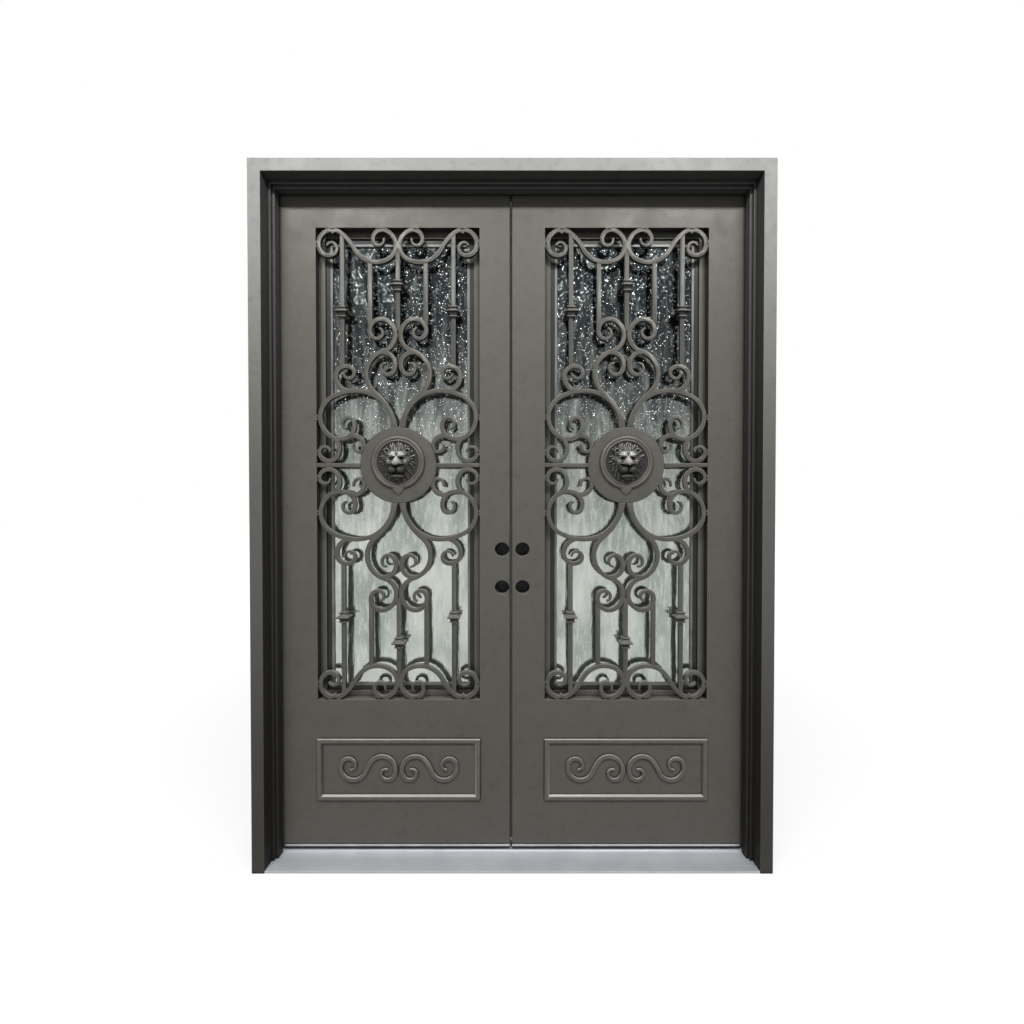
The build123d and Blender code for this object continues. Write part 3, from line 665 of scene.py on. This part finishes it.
# %% Rounded ironwork
ROUNDED = {
    "grille_scrolls": ("forged_scrolls", 1.4 * MM),
    "grille_bars": ("forged_bars", 1.2 * MM),
    "round_plate": ("turned_plate", 1.4 * MM),
    "kick_scrolls": ("pressed_scrolls", 1.2 * MM),
    "kick_moulding": ("mitred_moulding", 1.0 * MM),
    "threshold": ("folded_sill", 1.0 * MM),
}
for part, (title, width) in ROUNDED.items():
    for node in [name for name in nodes if name.endswith(part)]:
        side = node[:-len(part)]
        mesh = clean_mesh(side + title, nodes[node])
        finish = "relief_paint" if part.startswith("kick") else slot_of[node]
        piece = link_piece(mesh.name, mesh, side + "leaf" if side else "frame", slot_of[node], node,
                           finish=finish)
        round_edges(piece, width)
        print(piece.name, len(mesh.polygons), "faces before rounding")

# %% [markdown]
# The heads are castings. We describe a head as a height over the plate at each place, in
# millimetres from the middle of the roundel. Two shapes do most of the work: a smooth bump, which
# also makes a hollow when it is taken away, and a lock of hair, a curved ridge that thins to a tip.

# %% Lion head: bumps and locks
def hump(x, z, at, reach, height, power=1.0):
    """A smooth bump of an elliptical outline."""
    d = ((x - at[0]) / reach[0]) ** 2 + ((z - at[1]) / reach[1]) ** 2
    return height * np.clip(1 - d, 0, 1) ** power


def lock_of_hair(x, z, root, heading, length, width, curl, base, tip, ridge):
    """The height of one curved lock, and zero away from it."""
    along = (x - root[0]) * cos(heading) + (z - root[1]) * sin(heading)
    across = -(x - root[0]) * sin(heading) + (z - root[1]) * cos(heading)
    t = along / length
    across = across - curl * length * t**2
    inside = np.clip(t, 0.0, 1.0)
    half = width * (0.45 + 0.55 * np.sin(pi * inside**0.8)) * np.clip((1 - inside) * 3.2, 0, 1) ** 0.6
    share = np.abs(across) / np.maximum(half, 0.01)
    round_top = np.sqrt(np.clip(1 - share**2, 0, 1))
    strands = 1 + 0.16 * np.cos(share * pi * 2.6)
    height = base + (tip - base) * inside + ridge * round_top * strands
    return np.where((t > -0.02) & (t < 1) & (share < 1), height, 0.0)


# %% [markdown]
# The mane is three layers of locks, some seventy in all. Those above the face stand up, and those
# beside and below it hang down.

# %% Lion head: mane
# Locks in a layer, distance of their roots, length, half width, height at root and tip, ridge
MANE_LAYERS = (
    (30, 45.0, 27.0, 5.4, 8.0, 3.5, 4.5),
    (26, 37.0, 27.0, 5.8, 14.0, 7.0, 5.0),
    (20, 30.0, 23.0, 5.6, 20.0, 13.0, 5.0),
)
CURL_WEAK = 0.16
CURL_STRONG = 0.42


def mane_height(x, z):
    """Layers of locks that stand out round the face and hang down beside it."""
    height = np.zeros_like(x)
    for layer, (count, radius, length, width, base, tip, ridge) in enumerate(MANE_LAYERS):
        for index in range(count):
            angle = 2 * pi * (index + 0.5 * (layer % 2)) / count
            hang = min(0.92, max(0.0, 0.7 - sin(angle)) * 1.1)
            heading = np.arctan2(sin(angle) * (1 - hang) - hang, cos(angle) * (1 - hang))
            side = 1 if cos(angle) >= 0 else -1
            curl = side * (CURL_WEAK if index % 2 else CURL_STRONG)
            root = (radius * 0.96 * cos(angle), radius * 1.06 * sin(angle))
            lock = lock_of_hair(x, z, root, heading, length, width, curl, base, tip, ridge)
            height = np.maximum(height, lock)
    return height


# %% [markdown]
# The face is built in the order in which a carver would rough it out. It is the same on both sides,
# so most of it is written for one side only. Each bump gives its place, its reach and its height.

# %% Lion head: face
def brow_height(x, z):
    """The forehead with its furrows, the brows, and the eyes in their sockets."""
    across = np.abs(x)
    height = 6 + hump(x, z, (0, 0), (41, 54), 21, 0.5)
    height += hump(across, z, (16, 32), (20, 15), 8, 0.8)
    height -= hump(x, z, (0, 35), (3.6, 17), 6)
    for start in (9, 18, 27):
        height -= hump(across, z, (start, 43), (1.6, 9), 2.5)
    brow = z - (19.5 + 0.22 * across)
    height += 6.5 * np.exp(-((brow / 3.4) ** 2)) * np.clip(1 - ((across - 18) / 19) ** 2, 0, 1)
    height -= hump(across, z, (21, 12.5), (12.5, 6.8), 17, 0.7)
    height += hump(across, z, (21, 12), (5.2, 3.8), 9, 0.5)
    return height + hump(across, z, (30, -1), (11, 14), 8, 0.8)


def bridge_height(x, z):
    """The bridge of the nose, which widens and rises on its way down."""
    down = np.clip((20 - z) / 28, 0, 1)
    half = 5.5 + 12.5 * down**1.2
    above = np.clip(z - 20, 0, 60)
    below = np.clip(-z - 8, 0, 60)
    return 30 + 20 * down - 9 * (np.abs(x) / half) ** 3 - above * 1.4 - below * 3


def face_height(x, z):
    """The face inside the mane: nose, cheeks of the muzzle, mouth and chin under the brow."""
    across = np.abs(x)
    height = np.maximum(brow_height(x, z), bridge_height(x, z))
    height = np.maximum(height, hump(x, z, (0, -11), (16, 8), 50, 0.22))
    height = np.maximum(height, hump(across, z, (12.5, -29), (16.5, 15), 46, 0.3))
    height -= hump(across, z, (8, -15), (5, 3), 16)
    height -= hump(x, z, (0, -29), (2.4, 12), 9)
    for row in range(3):
        height -= hump(across, z, (13 + 4 * row, -25 - 5 * (row % 2)), (1.4, 1.4), 3)
    height = np.maximum(height, hump(x, z, (0, -53), (24, 8.5), 40, 0.3))
    gap = np.exp(-(((z + 43.5) / 2.8) ** 2)) * np.clip(1.1 - (across / 25) ** 4, 0, 1)
    height -= 20 * gap
    height = np.maximum(height, hump(across, z, (13, -43), (2.6, 5.5), 38, 0.4))
    height = np.maximum(height, hump(x, z, (0, -62), (15, 5.5), 26, 0.5))
    inside = hump(x, z, (0, -5), (43, 63), 1.0, 0.25)
    return np.where(inside > 0.3, height, 0.0)


# %% [markdown]
# The roundel puts it together: an outer rolled ring, a groove, an inner ring, the dish, and the
# head with its ears on the dish. A fine grain keeps the casting from looking turned.

# %% Lion head: roundel
RING = 99.0
GROOVE = 84.5
DISH = 76.0
DISH_HEIGHT = 3.0
FACE_WIDER = 1.15


def ear_height(x, z):
    """A round ear with its hollow, on each side of the crown."""
    mirrored = np.abs(x)
    ear = hump(mirrored, z, (38, 42), (11, 11), 25, 0.35)
    return ear - hump(mirrored, z, (38, 41), (6.5, 6.5), 12, 0.7)


def head_height(x, z):
    """The whole roundel's height over the plate."""
    r = np.hypot(x, z)
    outer = 5.0 * np.clip((RING - r) / 14.5, 0, 1) ** 0.5 + 6.5 * np.sqrt(
        np.clip(1 - ((r - 91.5) / 7.6) ** 2, 0, 1))
    inner = 4.0 + 5.0 * np.sqrt(np.clip(1 - ((r - 80.2) / 4.4) ** 2, 0, 1))
    height = np.where(r > GROOVE, outer, np.where(r > DISH, inner, DISH_HEIGHT))
    face = face_height(x / FACE_WIDER, z)
    head = np.maximum(mane_height(x, z), np.maximum(face, ear_height(x, z)))
    grain = 0.25 * np.sin(x * 1.9 + 3 * np.sin(z * 0.7)) * np.sin(z * 2.3 + 2 * np.sin(x * 0.6))
    return np.where(r < DISH - 0.5, np.maximum(height, head + grain * (head > 4)), height)


print("muzzle stands", round(float(head_height(np.array([12.0]), np.array([-25.0]))[0]), 1), "mm proud")

# %% [markdown]
# The heights become a mesh: rings of points from the middle out to the rim, then one more ring down
# to the plate, so that the casting is closed at the back. A few rounds of smoothing melt the steps
# between the locks the way wax and sand would.

# %% Lion head: mesh
RINGS = 124
SPOKES = 400
HEAD_RISE = 10.0
RIM_HEIGHT = 0.6


def blurred(height, rounds):
    """The heights after some rounds of averaging with their neighbours."""
    for _ in range(rounds):
        around = (np.roll(height, 1, 1) + np.roll(height, -1, 1)) / 2
        inward = np.vstack([height[:1], height[:-1]])
        outward = np.vstack([height[1:], height[-1:]])
        height = 0.4 * height + 0.35 * around + 0.125 * (inward + outward)
    return height


def wear_and_shade_of(x, z, height):
    """How rubbed and lit and how shaded each point is: high spots, lighter higher up, and painted shade in
    hollows and low down.
    """
    relief = height - blurred(height, 16)
    on_head = (np.hypot(x, z) < DISH) & (height > DISH_HEIGHT + 0.5)
    # Rubbing on high spots, plus a painted highlight on the proudest parts above the muzzle.
    rubbed = np.clip(relief / 3.2, 0, 0.5) + np.clip((height - 26) / 14, 0, 0.75) * (z > -14)
    on_face = np.hypot(x / 44, (z + 2) / 58) < 1
    # Painted highlight: the face is lighter the higher up it is, and the top of the mane lighter than its
    # sides.
    high = np.clip(0.55 + (z + 4) / 16, 0.12, 1.35)
    rubbed = rubbed * np.where(on_face, high, np.where(z > 24, 0.9, 0.15))
    # A painted highlight across the brow.
    rubbed += 0.28 * (on_face & (z > 15) & (z < 40) & (np.abs(x) < 32) & (relief > -1))
    rubbed = np.where(on_head, np.clip(rubbed - (relief < -0.8), 0, 1), 0.0)
    # Painted shade: hollows darken, and the hair and the face below the nose darker still.
    hollow = np.clip(np.where(on_face & (z > -12), 0.6, 0.9) - relief / 2.4, 0.15, 1)
    grime = np.where(np.hypot(x, z) < DISH - 1, hollow, np.clip(-relief / 2, 0, 0.7))
    return rubbed, grime


def roundel_mesh(name, at_x):
    """One casting on its round plate."""
    centre_z = PLATE_Z + HEAD_RISE * MM
    radii = np.linspace(0, RING, RINGS + 1)[1:]
    angles = np.arange(SPOKES) * 2 * pi / SPOKES
    x = radii[:, None] * np.cos(angles)
    z = radii[:, None] * np.sin(angles)
    height = blurred(head_height(x, z), 1)
    rubbed, grime = wear_and_shade_of(x, z, height)
    height[-1] = RIM_HEIGHT
    points = [(at_x, FACE_Y - height[0].mean() * MM, centre_z)]
    for row in range(RINGS):
        for spoke in range(SPOKES):
            points.append((at_x + x[row, spoke] * MM, FACE_Y - height[row, spoke] * MM,
                           centre_z + z[row, spoke] * MM))
    back = len(points)
    for spoke in range(SPOKES):
        points.append((at_x + x[-1, spoke] * MM, FACE_Y, centre_z + z[-1, spoke] * MM))
    faces = [(0, 1 + (s + 1) % SPOKES, 1 + s)[::-1] for s in range(SPOKES)]
    for row in range(RINGS):
        start = 1 + row * SPOKES
        for spoke in range(SPOKES):
            after = (spoke + 1) % SPOKES
            faces.append((start + spoke, start + SPOKES + spoke, start + SPOKES + after, start + after))
    faces.append(tuple(range(back + SPOKES - 1, back - 1, -1)))
    mesh = bpy.data.meshes.new(name)
    mesh.from_pydata(points, [], faces)
    mesh.polygons.foreach_set("use_smooth", [True] * len(faces))
    for title, values in (("rubbed", rubbed), ("grime", grime)):
        whole = np.concatenate([[values[0].mean()], values.ravel(), values[-1]])
        mesh.attributes.new(title, "FLOAT", "POINT").data.foreach_set("value", whole.astype(np.float32))
    return mesh


# %% [markdown]
# A small leaf hangs from the rings over the plate. It is a grid of points, crowned along its middle,
# whose rim is drawn back to the plate to close it.

# %% Lion head: hanging drop
DROP_HALF = 25.0
DROP_TOP = -84.0
DROP_BOTTOM = -121.0
DROP_HEIGHT = 12.0
DROP_ALONG = 26
DROP_ACROSS = 24


def drop_mesh(name, at_x):
    """The small leaf that hangs from the rings, crowned along its middle."""
    points = []
    for i in range(DROP_ALONG + 1):
        t = i / DROP_ALONG
        z = DROP_TOP + (DROP_BOTTOM - DROP_TOP) * t
        half = DROP_HALF * (1 - t**2.2) ** 0.75 + 0.2
        for j in range(DROP_ACROSS + 1):
            s = -1 + 2 * j / DROP_ACROSS
            crown = DROP_HEIGHT * (1 - abs(s) ** 2.2) ** 0.6 * (1 - 0.55 * t) * (1 - t**6) + 0.2
            points.append((at_x + s * half * MM, FACE_Y - crown * MM, PLATE_Z + (z + HEAD_RISE) * MM))
    row = DROP_ACROSS + 1
    faces = []
    for i in range(DROP_ALONG):
        for j in range(DROP_ACROSS):
            corner = i * row + j
            faces.append((corner, corner + row, corner + row + 1, corner + 1))
    mesh = bpy.data.meshes.new(name)
    mesh.from_pydata(points, [], faces)
    work = bmesh.new()
    work.from_mesh(mesh)
    rim = [edge for edge in work.edges if edge.is_boundary]
    base = bmesh.ops.extrude_edge_only(work, edges=rim)["geom"]
    for vertex in [item for item in base if isinstance(item, bmesh.types.BMVert)]:
        vertex.co.y = FACE_Y
    bmesh.ops.contextual_create(work, geom=[edge for edge in work.edges if edge.is_boundary])
    bmesh.ops.recalc_face_normals(work, faces=work.faces)
    for face in work.faces:
        face.smooth = True
    work.to_mesh(mesh)
    work.free()
    return mesh


for side, sign in SIDES:
    name = f"{side}_cast_lion"
    piece = link_piece(name, roundel_mesh(name, sign * PLATE_X), f"{side}_leaf", "cast_iron",
                       f"{side}_lion_roundel")
    name = f"{side}_cast_drop"
    link_piece(name, drop_mesh(name, sign * PLATE_X), f"{side}_leaf", "cast_iron")
    print(piece.name, len(piece.data.polygons), "faces")

# %% [markdown]
# The scrolls are welded to the leaf where they touch the edge of the opening, and the welds are
# ground flush and painted over. Each weld is a small bridge with hollow sides, from the edge to the
# scroll. The places are read off the photograph from the middle of the opening, in millimetres.

# %% Welds to the opening
WELD_HALF = 13.0
WELD_WAIST = 7.0
WELD_REACH = 6.0
WELD_DEPTH = 11.0
WELD_STEPS = 5
TOP_WELDS = (-238, -66, 66, 238)
SIDE_WELDS = (810, 175, 47, -47, -175, -810)
WELD_SINK = 0.4
opening_low, opening_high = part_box("right_grille_scrolls")
HALF_WIDTH = (opening_high.x - opening_low.x) / 2
HALF_HEIGHT = (opening_high.z - opening_low.z) / 2


def weld_outline():
    """Half of a weld's outline: how far along the edge at each depth into the opening."""
    rows = []
    for step in range(WELD_STEPS + 1):
        t = step / WELD_STEPS
        rows.append((WELD_WAIST + (WELD_HALF - WELD_WAIST) * (1 - t) ** 2.2, WELD_REACH * t))
    return rows


def weld_mesh(name, at_x):
    """All the welds of one opening, as closed bridges flush with the face."""
    points = []
    faces = []
    spots = [((x * MM, side * HALF_HEIGHT), (0, -side)) for x in TOP_WELDS for side in (-1, 1)]
    spots += [((side * HALF_WIDTH, z * MM), (-side, 0)) for z in SIDE_WELDS for side in (-1, 1)]
    half = weld_outline()
    outline = [(u, v) for u, v in half] + [(-u, v) for u, v in reversed(half)]
    for (x, z), (into_x, into_z) in spots:
        start = len(points)
        for y in (FACE_Y, FACE_Y + WELD_DEPTH * MM):
            for u, v in outline:
                v -= WELD_SINK
                points.append((at_x + x + (into_x * v + into_z * u) * MM, y,
                               PLATE_Z + z + (into_z * v + into_x * u) * MM))
        count = len(outline)
        faces.append(tuple(range(start, start + count)))
        faces.append(tuple(range(start + 2 * count - 1, start + count - 1, -1)))
        for i in range(count):
            after = (i + 1) % count
            faces.append((start + i, start + after, start + count + after, start + count + i))
    return closed_mesh(name, points, faces)


for side, sign in SIDES:
    name = f"{side}_welds"
    link_piece(name, weld_mesh(name, sign * PLATE_X), f"{side}_leaf", "door_paint")
    print(name, len(TOP_WELDS) * 2 + len(SIDE_WELDS) * 2, "welds")

# %% [markdown]
# Two more meshes come from a simple rule: an outline in plan that is drawn up from one height to
# another, and a profile that is turned about an axis.

# %% Drawn and turned meshes
def swept_mesh(name, outline, low, high):
    """A closed outline in plan, drawn up from one height to another."""
    count = len(outline)
    points = [(x, y, z) for z in (low, high) for x, y in outline]
    faces = [(i, (i + 1) % count, count + (i + 1) % count, count + i) for i in range(count)]
    faces += [tuple(range(count - 1, -1, -1)), tuple(range(count, 2 * count))]
    return closed_mesh(name, points, faces)


def turned_mesh(name, profile, centre, steps=48):
    """A profile of radius and depth, turned about an axis through the door."""
    points = []
    for radius, y in profile:
        for step in range(steps):
            angle = 2 * pi * step / steps
            points.append((centre[0] + radius * cos(angle), y, centre[1] + radius * sin(angle)))
    faces = [tuple(range(steps)), tuple(range(len(points) - 1, len(points) - steps - 1, -1))]
    for ring in range(len(profile) - 1):
        start = ring * steps
        for step in range(steps):
            after = (step + 1) % steps
            faces.append((start + step, start + steps + step, start + steps + after, start + after))
    return closed_mesh(name, points, faces)


# %% [markdown]
# No light shows between the leaves, because each has a rubber lip down its meeting edge. The lips
# sit near the inside face, where the edges swing least, and stop just short of each other. The lock
# holes are closed at the inside by black plugs, as on a door that waits for its locks.

# %% Meeting lips and plugs
LIP_GAP = 0.3 * MM
LIP_DEPTH = 12 * MM
LIP_SINK = 0.2 * MM
LIP_INSET = 3 * MM
LIP_STEPS = 8
BORE_RADIUS = 26 * MM
BORE_X = 38 * MM
BORE_HEIGHTS = (0.989, 1.129)
left_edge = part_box("left_lock_box")[1].x
right_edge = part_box("right_lock_box")[0].x
inner_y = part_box("left_lock_box")[1].y
lip_reach = (right_edge - left_edge - LIP_GAP) / 2
stile_low, stile_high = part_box("left_lock_stile")


def lip_outline(edge_x, sign):
    """A lip in plan: a straight back in the leaf's edge and a round nose."""
    back_y = inner_y - LIP_INSET
    sunk_x = edge_x - sign * LIP_SINK
    outline = [(sunk_x, back_y - LIP_DEPTH), (sunk_x, back_y)]
    for step in range(LIP_STEPS + 1):
        angle = pi / 2 - pi * step / LIP_STEPS
        nose = lip_reach * cos(angle) ** 0.6 if step not in (0, LIP_STEPS) else 0.0
        outline.append((edge_x + sign * nose, back_y - LIP_DEPTH / 2 + LIP_DEPTH / 2 * sin(angle)))
    return outline


for side, edge_x, sign in (("left", left_edge, 1), ("right", right_edge, -1)):
    name = f"{side}_meeting_lip"
    lip = swept_mesh(name, lip_outline(edge_x, sign), stile_low.z, stile_high.z)
    link_piece(name, lip, f"{side}_leaf", "seal_rubber")
    for index, height in enumerate(BORE_HEIGHTS):
        name = f"{side}_bore_plug_{index + 1}"
        profile = [(BORE_RADIUS - 0.1 * MM, inner_y - 6 * MM), (BORE_RADIUS - 0.1 * MM, inner_y),
                   (BORE_RADIUS + 2 * MM, inner_y), (BORE_RADIUS + 1 * MM, inner_y + 1.5 * MM)]
        plug = turned_mesh(name, profile, (-sign * BORE_X, height))
        link_piece(name, plug, f"{side}_leaf", "seal_rubber")
    print(side, "lip and plugs made")

# %% [markdown]
# The studio starts with a pale floor that keeps the doors' shadow near them and is white further
# off. Light Path lets it be white for the eye and for reflections without pouring more light on the
# doors.

# %% Floor
FLOOR_REACH = 30.0
SHADOW_WITHIN = 0.8
WHITE_FROM = 5.0


def pale_floor():
    """A wide plane that is white to the camera and still takes a shadow."""
    made, tree, shader = new_material("pale_floor", Roughness=0.9)
    path = add_node(tree, "ShaderNodeLightPath").outputs
    shader["Base Color"].default_value = (0.4, 0.4, 0.4, 1.0)
    shader["Emission Color"].default_value = (1.0, 1.0, 1.0, 1.0)
    seen = calculate(tree, "ADD", path["Is Camera Ray"],
                     calculate(tree, "ADD", path["Is Glossy Ray"], path["Is Transmission Ray"]), clamp=True)
    place = add_node(tree, "ShaderNodeTexCoord").outputs["Object"]
    away = add_node(tree, "ShaderNodeVectorMath", {0: place}, operation="LENGTH").outputs["Value"]
    glow = remap(tree, away, SHADOW_WITHIN, WHITE_FROM, 0.8, 1.0)
    join(tree, calculate(tree, "MULTIPLY", seen, glow), shader["Emission Strength"])
    return made


mesh = bpy.data.meshes.new("floor")
mesh.from_pydata([(-FLOOR_REACH, -FLOOR_REACH, 0), (FLOOR_REACH, -FLOOR_REACH, 0),
                  (FLOOR_REACH, FLOOR_REACH, 0), (-FLOOR_REACH, FLOOR_REACH, 0)], [], [(0, 1, 2, 3)])
mesh.materials.append(pale_floor())
floor = bpy.data.objects.new("floor", mesh)
scene.collection.objects.link(floor)
print("floor", 2 * FLOOR_REACH, "m wide")

# %% [markdown]
# The world is white in the same way: Light Path shows a white background to the eye, and a weak
# cool fill to everything else.

# %% World
FILL_STRENGTH = 0.08
world = bpy.data.worlds.new("studio")
scene.world = world
world.use_nodes = True
tree = world.node_tree
tree.nodes.clear()
path = add_node(tree, "ShaderNodeLightPath").outputs
seen = calculate(tree, "ADD", path["Is Camera Ray"],
                 calculate(tree, "ADD", path["Is Glossy Ray"], path["Is Transmission Ray"]), clamp=True)
fill = add_node(tree, "ShaderNodeBackground", {"Color": (0.92, 0.96, 1.0, 1.0),
                "Strength": FILL_STRENGTH})
white = add_node(tree, "ShaderNodeBackground", {"Color": (1, 1, 1, 1), "Strength": 1.0})
both = add_node(tree, "ShaderNodeMixShader", {0: seen, 1: fill.outputs[0], 2: white.outputs[0]})
add_node(tree, "ShaderNodeOutputWorld", {"Surface": both.outputs[0]})
print("world", world.name, "with fill", FILL_STRENGTH)

# %% [markdown]
# A long thin lamp hangs high over the front of each leaf, so that the head of the frame throws a
# crisp shadow on the top rails. A weak fill stands beside the camera.

# %% Lamps
def soft_lamp(name, place, aim, size, power):
    """A rectangular area lamp that looks at a point."""
    data = bpy.data.lights.new(name, "AREA")
    data.shape = "RECTANGLE"
    data.size = size[0]
    data.size_y = size[1]
    data.energy = power
    lamp = bpy.data.objects.new(name, data)
    lamp.location = place
    lamp.rotation_euler = (Vector(aim) - Vector(place)).to_track_quat("-Z", "Y").to_euler()
    scene.collection.objects.link(lamp)
    print("lamp", name, power, "W")


for side, sign in SIDES:
    soft_lamp(f"over_{side}_leaf", place=(sign * 1.35, -2.2, 4.04), aim=(sign * 0.7, 0, 1.7),
              size=(1.5, 0.1), power=55)
soft_lamp("camera_side_fill", place=(-1.2, -3.5, 1.6), aim=(0, 0, 1.2), size=(2.5, 2.5), power=2.5)
